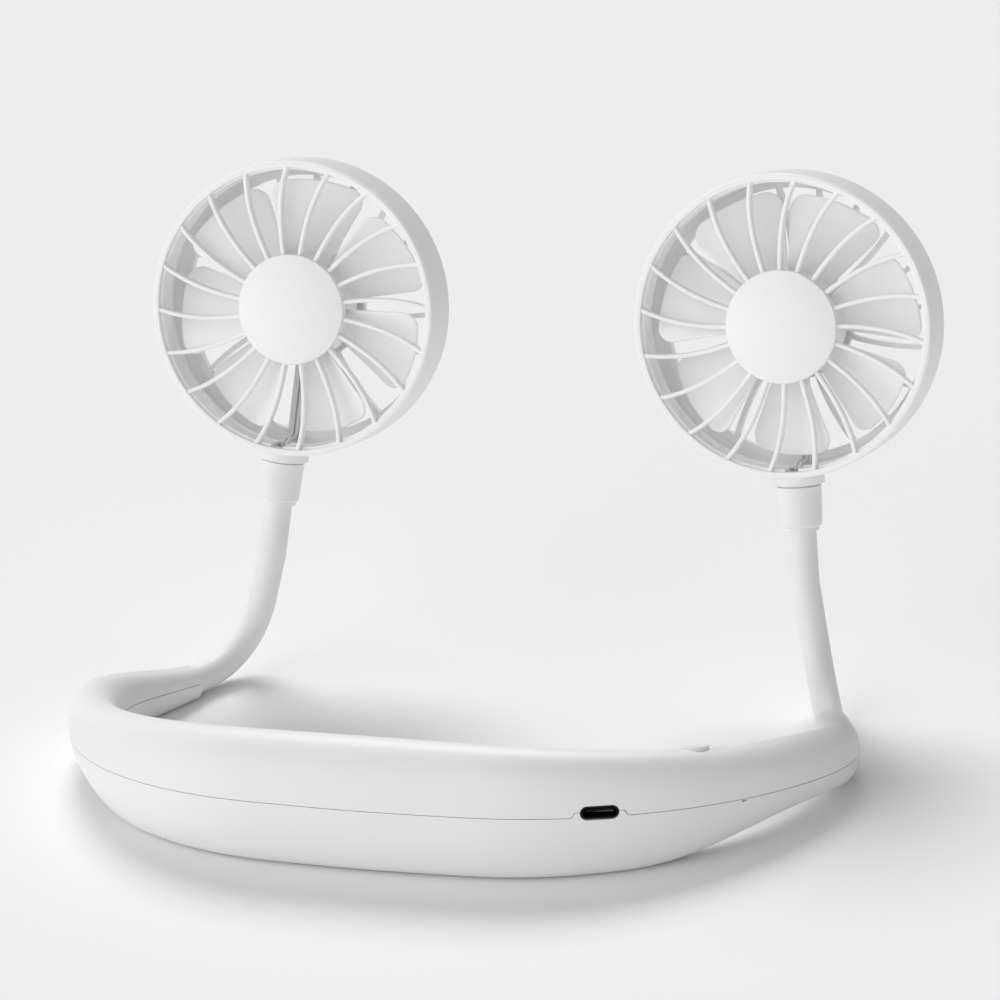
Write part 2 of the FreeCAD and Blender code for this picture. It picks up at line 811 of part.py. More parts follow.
def collar():
    """Tapered collar; the housing's spigot enters from above and the gooseneck from below."""
    top = -head_radius - saddle_height - collar_groove
    bottom = top - collar_length
    cone = Part.makeCone(collar_bottom_diameter / 2, collar_top_diameter / 2, collar_length,
                         Vector(0, 0, bottom))
    low_rim = [edge for edge in cone.Edges if edge.BoundBox.ZMax < bottom + collar_length / 2]
    cone = cone.makeFillet(collar_edge_radius, low_rim[:1])
    neck_hole = Part.makeCylinder(neck_diameter / 2 + neck_fit, neck_inside_collar + overrun,
                                  Vector(0, 0, bottom - overrun))
    spigot_hole = Part.makeCylinder(spigot_diameter / 2, collar_length,
                                    Vector(0, 0, bottom + neck_inside_collar))
    return cone.multiFuse([collar_land()]).cut(neck_hole.fuse(spigot_hole))


def collar_land():
    """The narrower top of the collar that leaves a groove under the saddle."""
    top = -head_radius - saddle_height
    return Part.makeCylinder(collar_bottom_diameter / 2 - collar_groove, collar_groove,
                             Vector(0, 0, top - collar_groove))


def collar_ring():
    top = -head_radius - saddle_height - collar_groove - collar_length
    ring = Part.makeCylinder(collar_ring_diameter / 2, collar_ring_height,
                             Vector(0, 0, top - collar_ring_height))
    bore = Part.makeCylinder(neck_diameter / 2 + neck_fit, collar_ring_height + overrun,
                             Vector(0, 0, top - collar_ring_height - overrun / 2))
    return ring.cut(bore)


def motor_can():
    can = cylinder_y(motor_diameter / 2, -motor_front, rear_face - drum_rear_thickness)
    can = can.cut(cylinder_y(motor_bore / 2, -motor_front - overrun, rear_face - drum_rear_thickness))
    return can.cut(cylinder_y(bush_diameter / 2, -motor_front - overrun, -motor_front + bush_length))


def motor_bush():
    bush = cylinder_y(bush_diameter / 2, -motor_front, -motor_front + bush_length)
    bore = shaft_diameter / 2 + shaft_running_clearance
    return bush.cut(cylinder_y(bore, -motor_front - overrun, bush_length + overrun))


def motor_shaft():
    return cylinder_y(shaft_diameter / 2, -hub_front + hub_front_wall - shaft_grip, shaft_rear_end)


def blade_sheet_section(radius, pitch_deg):
    """Thin oblong across the blade at one radius, longer than the paddle is wide."""
    pitch = math.radians(pitch_deg)
    along = Vector(math.cos(pitch), math.sin(pitch), 0) * blade_tip_radius
    across = Vector(-math.sin(pitch), math.cos(pitch), 0) * (blade_thickness / 2)
    middle = Vector(0, blade_middle, radius)
    corners = [middle - along - across, middle + along - across, middle + along + across,
               middle - along + across]
    return Part.makePolygon(corners + corners[:1])


def blade():
    """One paddle: a twisted sheet, trimmed in front view to a sector with round outer corners."""
    root = hub_diameter / 2 - blade_bury
    half_span = blade_span_deg / 2
    outline = Part.Wire([Part.makeLine(polar(root, -half_span), polar(blade_tip_radius, -half_span)),
                         Part.Arc(polar(blade_tip_radius, -half_span), polar(blade_tip_radius, 0),
                                  polar(blade_tip_radius, half_span)).toShape(),
                         Part.makeLine(polar(blade_tip_radius, half_span), polar(root, half_span)),
                         Part.makeLine(polar(root, half_span), polar(root, -half_span))])
    depth = hub_diameter
    prism = Part.Face(outline).extrude(along_y * depth)
    prism.translate(along_y * (-depth / 2))
    tip_edges = [edge for edge in prism.Edges
                 if edge.BoundBox.YLength > depth / 2 and edge.BoundBox.Center.z > hub_diameter / 2]
    prism = prism.makeFillet(blade_corner_radius, tip_edges)
    sheet_root = blade_sheet_section(root - blade_bury, blade_pitch_root_deg)
    sheet_tip = blade_sheet_section(blade_tip_radius + blade_bury, blade_pitch_tip_deg)
    sheet = Part.makeLoft([sheet_root, sheet_tip], True, True)
    return prism.common(sheet)


def impeller(phase_deg):
    radius = hub_diameter / 2
    edge = hub_edge_radius
    start = Vector(radius - edge, -hub_front, 0)
    end = Vector(radius, -hub_front + edge, 0)
    bore = shaft_diameter / 2
    inside = -hub_front + hub_front_wall
    profile = [Part.makeLine(Vector(0, -hub_front, 0), start),
               quarter(start, end, Vector(radius, -hub_front, 0))]
    profile += lines([end, Vector(radius, hub_rear, 0), Vector(radius - hub_wall, hub_rear, 0),
                      Vector(radius - hub_wall, inside, 0), Vector(bore, inside, 0),
                      Vector(bore, inside - shaft_grip, 0), Vector(0, inside - shaft_grip, 0),
                      Vector(0, -hub_front, 0)])
    hub = revolved(profile)
    hollow = cylinder_y(radius - hub_wall, inside, hub_rear + overrun)
    paddle = blade().cut(hollow)
    blades = [turned_y(paddle, phase_deg + 360 * i / blade_count) for i in range(blade_count)]
    return hub.multiFuse(blades)


def head_leads():
    """Two wires from the spigot, behind the impeller and along the wide spoke to the motor."""
    low = -head_radius - saddle_height - spigot_length
    inside = -head_radius + head_lead_inset
    motor_edge = -motor_diameter / 2
    wires = []
    for side in (-1, 1):
        x = side * head_lead_half_spacing
        points = [Vector(x, 0, low), Vector(x, 0, inside), Vector(x, head_lead_back, inside),
                  Vector(x, head_lead_back, motor_edge)]
        wires.append(swept_rod(rounded_path(points, (head_lead_bend, head_lead_bend)), head_lead_diameter))
    return Part.makeCompound(wires)


def export(shape, node):
    shape.exportStep("parts/" + node + ".step")


def main():
    os.makedirs("parts", exist_ok=True)
    upper, lower = band_shells()
    export(upper, "upper_shell")
    export(lower, "lower_shell")
    export(battery_cell(), "battery_cell")
    export(battery_leads(), "battery_leads")
    export(control_board(), "control_board")
    export(usb_shell(), "usb_shell")
    export(usb_tongue(), "usb_tongue")
    export(button_switch(), "button_switch")
    export(power_button(), "power_button")
    head_pieces = {"front_grille": front_grille(), "rear_housing": rear_housing(), "collar": collar(),
                   "collar_ring": collar_ring(), "motor_can": motor_can(), "motor_bush": motor_bush(),
                   "motor_shaft": motor_shaft(), "head_leads": head_leads()}
    for side, name, phase in ((-1, "left_", left_blade_phase_deg), (1, "right_", right_blade_phase_deg)):
        export(mouth_ring(side), name + "mouth_ring")
        export(sleeve(side), name + "sleeve")
        export(bend_core(side), name + "bend_core")
        export(motor_leads(side), name + "motor_leads")
        for piece, shape in head_pieces.items():
            placed = shape.copy()
            placed.Placement = head_frame(side).multiply(shape.Placement)
            export(placed, name + piece)
        fan = impeller(phase)
        fan.Placement = head_frame(side).multiply(fan.Placement)
        export(fan, name + "impeller")


main()
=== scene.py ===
import json
import math

import bmesh
import bpy
from mathutils import Matrix, Vector


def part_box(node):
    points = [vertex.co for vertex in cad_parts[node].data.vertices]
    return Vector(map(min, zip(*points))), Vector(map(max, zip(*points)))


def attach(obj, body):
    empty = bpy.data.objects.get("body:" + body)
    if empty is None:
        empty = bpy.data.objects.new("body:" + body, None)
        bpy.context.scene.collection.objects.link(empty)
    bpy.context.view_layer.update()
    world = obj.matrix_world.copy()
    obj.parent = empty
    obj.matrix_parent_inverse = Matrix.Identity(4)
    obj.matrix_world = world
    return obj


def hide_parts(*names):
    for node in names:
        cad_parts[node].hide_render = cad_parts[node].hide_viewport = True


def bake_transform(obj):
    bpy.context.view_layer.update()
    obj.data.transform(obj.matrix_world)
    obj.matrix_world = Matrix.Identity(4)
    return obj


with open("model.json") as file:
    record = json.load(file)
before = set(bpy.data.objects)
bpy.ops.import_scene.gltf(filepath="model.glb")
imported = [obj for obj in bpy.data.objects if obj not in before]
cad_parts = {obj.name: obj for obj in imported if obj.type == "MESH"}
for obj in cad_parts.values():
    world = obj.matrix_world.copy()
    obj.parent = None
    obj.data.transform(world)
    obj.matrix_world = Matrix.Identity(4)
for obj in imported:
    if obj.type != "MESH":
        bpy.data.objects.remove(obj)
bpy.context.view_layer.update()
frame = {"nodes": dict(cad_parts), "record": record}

# Neck fan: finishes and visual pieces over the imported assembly. Sizes are in millimetres unless their names
# say otherwise, and the scene itself is in metres.
mm = 0.001

# Camera of the photo: place, direction and lens
camera_place = Vector((497.5, -1102.3, 534.8)) * mm
camera_azimuth_deg = 22.5
camera_fall_deg = 20.26
camera_roll_deg = -5.03
camera_lens = 201.6
camera_sensor = 36.0
camera_reach_m = 100.0

# Studio: pale floor, soft dome, and soft lamps in front, on the left and behind
floor_size_m = 8.0
floor_drop = 0.05
floor_grey = 0.925
dome_grey = 0.98
dome_strength = 0.28
lamps = {"front_lamp": {"strength": 0.32, "angle_deg": 40.0, "height_deg": 15.0, "side_deg": -10.0},
         "left_lamp": {"strength": 1.75, "angle_deg": 85.0, "height_deg": 16.0, "side_deg": -68.0},
         "back_lamp": {"strength": 1.75, "angle_deg": 28.0, "height_deg": 50.0, "side_deg": 180.0}}

# Moulded finish: its noise, the bump of its grain, and the gloss of a coat
cloud_detail = 3.0
cloud_breakup = 0.5
grain_detail = 2.0
grain_breakup = 0.6
grain_strength = 0.35
coat_roughness = 0.1

# Welding and shading: of the assembly's own meshes, and of the pieces made here
cad_weld = 0.003
cad_sharp_rad = 0.6
piece_weld = 0.002
piece_sliver = 0.001
piece_sharp_deg = 35.0

# Band plan, for the places where the goosenecks leave it
band_front_radius = 550.0
band_front_turn_deg = 2.8
band_shoulder_radius = 74.5
band_shoulder_turn_deg = 70.5
band_corner_radius = 31.2
band_corner_turn_deg = 113.0
band_arm_length = 18.0
band_mouth_height = 8.4

# Gooseneck sleeves; the split is a share of the way between their two bends
neck_diameter = 7.2
neck_inside_band = 8.0
neck_inside_collar = 4.0
neck_lower_run = 21.5
neck_middle_run = 28.0
neck_middle_tilt_deg = 10.8
neck_middle_lean_deg = 11.8
neck_upper_run = 14.0
neck_knee_radius = 20.0
neck_crook_radius = 41.0
neck_sway_deg = 2.4
neck_around = 40
neck_step = 0.6
neck_bend_steps_least = 4
sleeve_split_share = 0.4

# Charging port: painted highlight, a pale strip on the lower front edge of the tongue
tongue_highlight_height = 0.3
tongue_highlight_colour = (0.16, 0.16, 0.165)
tongue_highlight_facing = 0.7

# Fan heads: turn, drum and front grille
head_turn_deg = 3.1
head_tilt_deg = 12.7
head_lean_deg = 5.7
head_radius = 37.5
head_front = -7.4
head_drop = 50.2
ring_width = 1.6
ring_thickness = 1.6
ring_outer_edge = 0.55
ring_inner_edge = 0.25
small_edge = 0.15
edge_steps = 6
drum_wall = 1.2
skirt_clearance = 0.06
skirt_wall = 0.9
skirt_end = 2.44
skirt_ledge = -0.9
skirt_ledge_depth = 0.4
skirt_bead = 0.7
skirt_bead_height = 0.25
lead_notch = 3.4
lead_notch_place_deg = 180.0
cap_radius = 14.0
cap_rim = 0.5
cap_dome = 2.3
cap_thickness = 2.0
cap_edge = 0.35
cap_dome_steps = 25
rib_count = 20
rib_width = 1.1
rib_depth = 2.3
rib_edge = 0.42
rib_edge_steps = 5
rib_set_back = 0.3
rib_sweep_deg = 7.5
rib_phase_deg = 1.5
rib_bend_share = 0.29
rib_ring_lap = 0.73
rib_steps = 28
rib_root_scale = 1.5
rib_tip_scale = 1.0

# Fan heads: impeller
hub_radius = 13.6
hub_front = -3.6
hub_rear = 4.4
hub_edge = 1.2
hub_wall = 1.5
hub_front_wall = 1.8
paddle_count = 7
paddle_thickness = 1.0
paddle_tip_radius = 32.6
paddle_corner_radius = 3.8
paddle_half_span_deg = 21.5
paddle_root_pitch_deg = 36.0
paddle_tip_pitch_deg = 19.3
paddle_middle = 0.5
paddle_bury = 1.0
paddle_edge = 0.5
paddle_across = 36
paddle_along = 40
paddle_phase_deg = {-1: 1.5, 1: 28.0}
round_steps = 192
sides = {-1: "left", 1: "right"}

up = Vector((0, 0, 1))
front_up = Matrix.Rotation(math.radians(90), 4, "X")
nodes = frame["nodes"]
scene = bpy.context.scene


# Node tree helpers


def connect(tree, socket, value):
    """Links another node's socket, or sets a plain value."""
    if isinstance(value, bpy.types.NodeSocket):
        tree.links.new(value, socket)
    else:
        socket.default_value = value


def add_node(tree, kind, settings=None, **inputs):
    """Adds a node, sets its properties, then fills or links its inputs by name."""
    made = tree.nodes.new(kind)
    for name, value in (settings or {}).items():
        setattr(made, name, value)
    for name, value in inputs.items():
        connect(tree, made.inputs[name.replace("_", " ")], value)
    return made


def math_node(tree, operation, first, second=None):
    """The result of an operation on one or two values."""
    made = tree.nodes.new("ShaderNodeMath")
    made.operation = operation
    connect(tree, made.inputs[0], first)
    if second is not None:
        connect(tree, made.inputs[1], second)
    return made.outputs[0]


def geometry_tree(name, counts=(), sizes=(), painted=True):
    """A geometry tree with named inputs: the tree, what it is given and what it results in."""
    tree = bpy.data.node_groups.new(name, "GeometryNodeTree")
    sockets = [("Geometry", "NodeSocketGeometry")]
    sockets += [(count, "NodeSocketInt") for count in counts]
    sockets += [(size, "NodeSocketFloat") for size in sizes]
    if painted:
        sockets.append(("Material", "NodeSocketMaterial"))
    for socket, kind in sockets:
        tree.interface.new_socket(socket, in_out="INPUT", socket_type=kind)
    tree.interface.new_socket("Geometry", in_out="OUTPUT", socket_type="NodeSocketGeometry")
    return tree, tree.nodes.new("NodeGroupInput").outputs, tree.nodes.new("NodeGroupOutput").inputs


def add_tree(piece, tree, **values):
    """Puts a geometry tree on a piece, with the tree's inputs set by name."""
    modifier = piece.modifiers.new(tree.name, "NODES")
    modifier.node_group = tree
    for socket in tree.interface.items_tree:
        key = socket.name.replace(" ", "_")
        if socket.in_out == "INPUT" and key in values:
            modifier[socket.identifier] = values[key]


# Materials


def moulded_finish_group():
    """Cloudy tone, roughness and fine grain of a moulded surface, from its place on the object."""
    group = bpy.data.node_groups.new("moulded_finish", "ShaderNodeTree")
    face = group.interface
    face.new_socket("Colour", in_out="INPUT", socket_type="NodeSocketColor")
    for name in ("Tone Spread", "Roughness", "Roughness Spread", "Cloud Scale", "Grain Scale"):
        face.new_socket(name, in_out="INPUT", socket_type="NodeSocketFloat")
    face.new_socket("Colour", in_out="OUTPUT", socket_type="NodeSocketColor")
    for name in ("Roughness", "Grain"):
        face.new_socket(name, in_out="OUTPUT", socket_type="NodeSocketFloat")
    given = group.nodes.new("NodeGroupInput").outputs
    result = group.nodes.new("NodeGroupOutput").inputs
    place = group.nodes.new("ShaderNodeTexCoord").outputs["Object"]
    cloud = add_node(group, "ShaderNodeTexNoise", Vector=place, Scale=given["Cloud Scale"],
                     Detail=cloud_detail, Roughness=cloud_breakup).outputs[0]
    grain = add_node(group, "ShaderNodeTexNoise", Vector=place, Scale=given["Grain Scale"],
                     Detail=grain_detail, Roughness=grain_breakup).outputs[0]
    swing = math_node(group, "SUBTRACT", cloud, 0.5)
    tone = math_node(group, "ADD", math_node(group, "MULTIPLY", swing, given["Tone Spread"]), 1.0)
    colour = add_node(group, "ShaderNodeHueSaturation", Color=given["Colour"], Value=tone).outputs[0]
    rough = math_node(group, "MULTIPLY", swing, given["Roughness Spread"])
    rough = math_node(group, "ADD", rough, given["Roughness"])
    group.links.new(colour, result["Colour"])
    group.links.new(rough, result["Roughness"])
    group.links.new(grain, result["Grain"])
    return group


moulded_finish = moulded_finish_group()


def finish_material(name, colour, tone_spread, roughness, roughness_spread, cloud_scale, grain_scale,
                    grain_depth, metallic=0.0, coat=0.0, gloss=0.5):
    """A material with the moulded finish; its grain is so many millimetres deep."""
    material = bpy.data.materials.new(name)
    material.use_nodes = True
    tree = material.node_tree
    surface = tree.nodes["Principled BSDF"].inputs
    moulded = add_node(tree, "ShaderNodeGroup", {"node_tree": moulded_finish}, Colour=(*colour, 1.0),
                       Tone_Spread=tone_spread, Roughness=roughness, Roughness_Spread=roughness_spread,
                       Cloud_Scale=cloud_scale, Grain_Scale=grain_scale).outputs
    bump = add_node(tree, "ShaderNodeBump", Height=moulded["Grain"], Strength=grain_strength,
                    Distance=grain_depth * mm)
    tree.links.new(moulded["Colour"], surface["Base Color"])
    tree.links.new(moulded["Roughness"], surface["Roughness"])
    tree.links.new(bump.outputs["Normal"], surface["Normal"])
    surface["Metallic"].default_value = metallic
    surface["Specular IOR Level"].default_value = gloss
    surface["Coat Weight"].default_value = coat
    surface["Coat Roughness"].default_value = coat_roughness
    return material


def painted_highlight_strip(material, colour, direction, facing, low, high):
    """Paints a highlight: gives a strip between two heights, on the faces that look along a direction, a
    colour of its own.
    """
    tree = material.node_tree
    base = next(made for made in tree.nodes if made.type == "GROUP").inputs["Colour"]
    surface = tree.nodes.new("ShaderNodeTexCoord").outputs
    turned = tree.nodes.new("ShaderNodeVectorMath")
    turned.operation = "DOT_PRODUCT"
    connect(tree, turned.inputs[0], surface["Normal"])
    connect(tree, turned.inputs[1], direction)
    height = add_node(tree, "ShaderNodeSeparateXYZ", Vector=surface["Object"]).outputs["Z"]
    # Mask of the painted highlight: faces that look along the direction, between the two heights
    highlight_mask = math_node(tree, "GREATER_THAN", turned.outputs["Value"], facing)
    highlight_mask = math_node(tree, "MULTIPLY", highlight_mask, math_node(tree, "GREATER_THAN", height, low))
    highlight_mask = math_node(tree, "MULTIPLY", highlight_mask, math_node(tree, "LESS_THAN", height, high))
    mixed = add_node(tree, "ShaderNodeMixRGB", Fac=highlight_mask, Color1=base.default_value, Color2=(*colour, 1.0))
    tree.links.new(mixed.outputs["Color"], base)


finishes = {
    "shell_white": dict(colour=(0.87, 0.87, 0.868), tone_spread=0.03, roughness=0.46, roughness_spread=0.06,
                        cloud_scale=35.0, grain_scale=2600.0, grain_depth=0.01, gloss=0.3),
    "head_white": dict(colour=(0.89, 0.89, 0.888), tone_spread=0.03, roughness=0.36, roughness_spread=0.06,
                       cloud_scale=60.0, grain_scale=2600.0, grain_depth=0.01, gloss=0.4),
    "grille_white": dict(colour=(0.97, 0.97, 0.968), tone_spread=0.02, roughness=0.36, roughness_spread=0.06,
                         cloud_scale=60.0, grain_scale=2600.0, grain_depth=0.01, gloss=0.4),
    "blade_white": dict(colour=(0.96, 0.96, 0.958), tone_spread=0.03, roughness=0.36, roughness_spread=0.06,
                        cloud_scale=60.0, grain_scale=2600.0, grain_depth=0.01),
    "sleeve_silicone": dict(colour=(0.88, 0.88, 0.876), tone_spread=0.05, roughness=0.52,
                            roughness_spread=0.08, cloud_scale=90.0, grain_scale=3200.0, grain_depth=0.03),
    "button_white": dict(colour=(0.86, 0.86, 0.858), tone_spread=0.03, roughness=0.36, roughness_spread=0.06,
                         cloud_scale=80.0, grain_scale=2600.0, grain_depth=0.01),
    "ring_white": dict(colour=(0.95, 0.95, 0.948), tone_spread=0.02, roughness=0.18, roughness_spread=0.04,
                       cloud_scale=120.0, grain_scale=2600.0, grain_depth=0.01, coat=0.5),
    "battery_silver": dict(colour=(0.62, 0.63, 0.66), tone_spread=0.10, roughness=0.34, roughness_spread=0.12,
                           cloud_scale=120.0, grain_scale=900.0, grain_depth=0.03, metallic=0.6),
    "lead_white": dict(colour=(0.80, 0.80, 0.79), tone_spread=0.05, roughness=0.45, roughness_spread=0.1,
                       cloud_scale=200.0, grain_scale=2500.0, grain_depth=0.02),
    "lead_dark": dict(colour=(0.05, 0.05, 0.055), tone_spread=0.20, roughness=0.5, roughness_spread=0.1,
                      cloud_scale=200.0, grain_scale=2500.0, grain_depth=0.02),
    "board_green": dict(colour=(0.03, 0.19, 0.09), tone_spread=0.25, roughness=0.42, roughness_spread=0.1,
                        cloud_scale=300.0, grain_scale=1800.0, grain_depth=0.02),
    "port_steel": dict(colour=(0.025, 0.025, 0.027), tone_spread=0.15, roughness=0.34, roughness_spread=0.1,
                       cloud_scale=300.0, grain_scale=2500.0, grain_depth=0.01, metallic=0.8),
    "port_black": dict(colour=(0.03, 0.03, 0.032), tone_spread=0.20, roughness=0.45, roughness_spread=0.1,
                       cloud_scale=300.0, grain_scale=2500.0, grain_depth=0.01),
    "tongue_black": dict(colour=(0.01, 0.01, 0.0105), tone_spread=0.15, roughness=0.55, roughness_spread=0.1,
                         cloud_scale=300.0, grain_scale=2500.0, grain_depth=0.01, gloss=0.1),
    "core_metal": dict(colour=(0.42, 0.40, 0.38), tone_spread=0.12, roughness=0.4, roughness_spread=0.1,
                       cloud_scale=200.0, grain_scale=2000.0, grain_depth=0.02, metallic=0.9),
    "motor_silver": dict(colour=(0.60, 0.60, 0.61), tone_spread=0.08, roughness=0.32, roughness_spread=0.1,
                         cloud_scale=120.0, grain_scale=1500.0, grain_depth=0.02, metallic=0.9),
    "bush_brass": dict(colour=(0.62, 0.46, 0.20), tone_spread=0.10, roughness=0.34, roughness_spread=0.1,
                       cloud_scale=200.0, grain_scale=2000.0, grain_depth=0.02, metallic=0.9),
    "studio_paper": dict(colour=(floor_grey, floor_grey, floor_grey), tone_spread=0.004, roughness=0.9,
                         roughness_spread=0.02, cloud_scale=3.0, grain_scale=50.0, grain_depth=0.01),
}
node_finish = {"upper_shell": "shell_white", "lower_shell": "shell_white", "power_button": "button_white",
               "battery_cell": "battery_silver", "battery_leads": "lead_dark", "control_board": "board_green",
               "button_switch": "port_black", "usb_shell": "port_steel", "usb_tongue": "tongue_black",
               "mouth_ring": "ring_white", "sleeve": "sleeve_silicone", "bend_core": "core_metal",
               "motor_leads": "lead_dark", "front_grille": "grille_white", "rear_housing": "head_white",
               "collar": "head_white", "collar_ring": "head_white", "motor_can": "motor_silver",
               "motor_bush": "bush_brass", "motor_shaft": "motor_silver", "head_leads": "lead_white",
               "impeller": "blade_white"}

finish = {name: finish_material(name, **values) for name, values in finishes.items()}
port_mount = next(mount for mount in frame["record"]["mounts"] if mount["name"] == "charging_port")
tongue_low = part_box("usb_tongue")[0][2]
# Painted highlight on the lower front edge of the charging port's tongue
painted_highlight_strip(finish["tongue_black"], tongue_highlight_colour, port_mount["axis"], tongue_highlight_facing, tongue_low,
           tongue_low + tongue_highlight_height * mm)


def paint(piece, material):
    """Gives all of a piece one material."""
    slots = piece.data.materials
    if not slots:
        slots.append(material)
    for i in range(len(slots)):
        slots[i] = material


# Smooth shading of the assembly's own meshes, sharp where the surface really turns


def smooth_by_angle_tree():
    """Welds a mesh and shades it smooth, apart from its sharp edges."""
    tree, given, result = geometry_tree("smooth_by_angle", sizes=("Weld Distance", "Sharp Angle"),
                                        painted=False)
    welded = add_node(tree, "GeometryNodeMergeByDistance", Geometry=given["Geometry"],
                      Distance=given["Weld Distance"]).outputs[0]
    smooth = add_node(tree, "GeometryNodeSetShadeSmooth", {"domain": "FACE"}, Geometry=welded,
                      Shade_Smooth=True).outputs[0]
    turn = tree.nodes.new("GeometryNodeInputMeshEdgeAngle").outputs["Unsigned Angle"]
    gentle = add_node(tree, "FunctionNodeCompare", {"data_type": "FLOAT", "operation": "LESS_THAN"}, A=turn,
                      B=given["Sharp Angle"]).outputs[0]
    edged = add_node(tree, "GeometryNodeSetShadeSmooth", {"domain": "EDGE"}, Geometry=smooth,
                     Shade_Smooth=gentle).outputs[0]
    tree.links.new(edged, result[0])
    return tree


smooth_by_angle = smooth_by_angle_tree()
for name, piece in nodes.items():
    part_name = name.split("_", 1)[1] if name.startswith(("left_", "right_")) else name
    paint(piece, finish[node_finish[part_name]])
    add_tree(piece, smooth_by_angle, Weld_Distance=cad_weld * mm, Sharp_Angle=cad_sharp_rad)


# Round corners


def corner_arc(before, corner, after, radius):
    """Start, end, centre and turn of the arc that rounds a corner."""
    inward = (before - corner).normalized()
    onward = (after - corner).normalized()
    turn = math.pi - inward.angle(onward)
    reach = radius * math.tan(turn / 2)
    centre = corner + (inward + onward).normalized() * (radius / math.cos(turn / 2))
    return corner + inward * reach, corner + onward * reach, centre, turn


def arc_points(start, end, centre, turn, steps):
    """Points along an arc, both ends among them."""
    first = start - centre
    last = end - centre
    points = []
    for i in range(steps + 1):
        share = i / steps
        points.append(centre + first * (math.sin((1 - share) * turn) / math.sin(turn))
                      + last * (math.sin(share * turn) / math.sin(turn)))
    return points


def extend_path(path, end, step):
    """Takes a path on to a point in a straight run."""
    start = path[-1].copy()
    count = max(1, round((end - start).length / step))
    path.extend(start.lerp(end, i / count) for i in range(1, count + 1))


def rounded_path(points, radii, step):
    """Points on straight runs joined by arcs, about one step apart, and where each arc starts and ends."""
    path = [points[0].copy()]
    arcs = []
    for before, corner, after, radius in zip(points, points[1:], points[2:], radii):
        start, end, centre, turn = corner_arc(before, corner, after, radius)
        extend_path(path, start, step)
        count = max(neck_bend_steps_least, round(turn * radius / step))
        path.extend(arc_points(start, end, centre, turn, count)[1:])
        arcs.append((start, end))
    extend_path(path, points[-1], step)
    return path, arcs


def rounded_outline(corners, radii):
    """Closed outline of (radius, depth) points with each corner rounded by its own radius."""
    outline = []
    corners = [Vector(corner) for corner in corners]
    for i, radius in enumerate(radii):
        if radius == 0:
            outline.append(corners[i])
        else:
            arc = corner_arc(corners[i - 1], corners[i], corners[(i + 1) % len(corners)], radius)
            outline.extend(arc_points(*arc, edge_steps))
    return outline


# Places of the goosenecks and heads


def band_mouth(side):
    """End of the band's middle line and its direction there."""
    turns_deg = (0, band_front_turn_deg, band_shoulder_turn_deg, band_corner_turn_deg)
    turns = [math.radians(turn) for turn in turns_deg]
    x = 0
    y = 0
    for turn, next_turn, radius in zip(turns, turns[1:],
                                       (band_front_radius, band_shoulder_radius, band_corner_radius)):
        x += radius * (math.sin(next_turn) - math.sin(turn))
        y += radius * (math.cos(turn) - math.cos(next_turn))
    along = Vector((side * math.cos(turns[-1]), math.sin(turns[-1]), 0))
    return Vector((side * x, y, band_mouth_height / 2)) + along * band_arm_length, along


def leaning(side, tilt_deg, lean_deg):
    """Turn that tilts back by one angle, and leans inwards by the other with both necks' common sway."""
    tilt = Matrix.Rotation(math.radians(-tilt_deg), 3, "X")
    return tilt @ Matrix.Rotation(math.radians(neck_sway_deg - side * lean_deg), 3, "Y")


def head_turn(side):
    """Turn of a fan head that is made with its axis along Y and its neck along Z."""
    return Matrix.Rotation(math.radians(head_turn_deg), 3, "Z") @ leaning(side, head_tilt_deg, head_lean_deg)


def neck_corners(side):
    """Places along a gooseneck's line, from its start inside the band to its end inside the collar."""
    mouth, along = band_mouth(side)
    head_up = head_turn(side) @ up
    knee = mouth + along * neck_lower_run
    crook = knee + leaning(side, neck_middle_tilt_deg, neck_middle_lean_deg) @ up * neck_middle_run
    foot = crook + head_up * neck_upper_run
    return {"start": mouth - along * neck_inside_band, "mouth": mouth, "knee": knee, "crook": crook,
            "foot": foot, "end": foot + head_up * neck_inside_collar}


def head_matrix(side):
    """From head millimetres, fan axis along Y, to scene metres."""
    centre = neck_corners(side)["foot"] + head_turn(side) @ up * head_drop
    return Matrix.Scale(mm, 4) @ Matrix.Translation(centre) @ head_turn(side).to_4x4()


# Meshes of the fan heads, in head millimetres


def mesh_of(name, points, faces, edges=()):
    """A mesh of points, faces and loose edges."""
    mesh = bpy.data.meshes.new(name)
    mesh.from_pydata([tuple(point) for point in points], list(edges), faces)
    mesh.update()
    return mesh


def turned_faces(points, faces, outline, start_deg=0.0, end_deg=360.0):
    """Adds an outline of (radius, depth) points turned round the Y axis, whole or between two angles."""
    whole = end_deg - start_deg >= 360
    rings = round_steps if whole else round_steps + 1
    first = len(points)
    size = len(outline)
    for i in range(rings):
        angle = math.radians(start_deg + (end_deg - start_deg) * i / round_steps)
        points.extend(Vector((radius * math.sin(angle), depth, radius * math.cos(angle)))
                      for radius, depth in outline)
    for i in range(round_steps):
        near = first + i * size
        far = first + (i + 1) % rings * size
        for k in range(size):
            n = (k + 1) % size
            faces.append((near + k, near + n, far + n, far + k))
    if not whole:
        last = first + round_steps * size
        faces.append(tuple(first + k for k in reversed(range(size))))
        faces.append(tuple(last + k for k in range(size)))


def ring_outline():
    """Section of the grille's ring."""
    inner = head_radius - ring_width
    back = head_front + ring_thickness
    return rounded_outline(
        [(inner, head_front), (head_radius, head_front), (head_radius, back), (inner, back)],
        [ring_inner_edge, ring_outer_edge, small_edge, small_edge])


def skirt_outline(outside):
    """Section of the skirt behind the ring, with a bead and a ledge on its inner side."""
    front = head_front + ring_thickness - small_edge
    inside = outside - skirt_wall
    bead = inside - skirt_bead_height
    bead_end = skirt_ledge + skirt_bead
    ledge = inside + skirt_ledge_depth
    return rounded_outline(
        [(inside, front), (outside, front), (outside, skirt_end), (ledge, skirt_end), (ledge, bead_end),
         (bead, bead_end), (bead, skirt_ledge), (inside, skirt_ledge)],
        [0, 0, small_edge, small_edge, small_edge, small_edge, small_edge, small_edge])


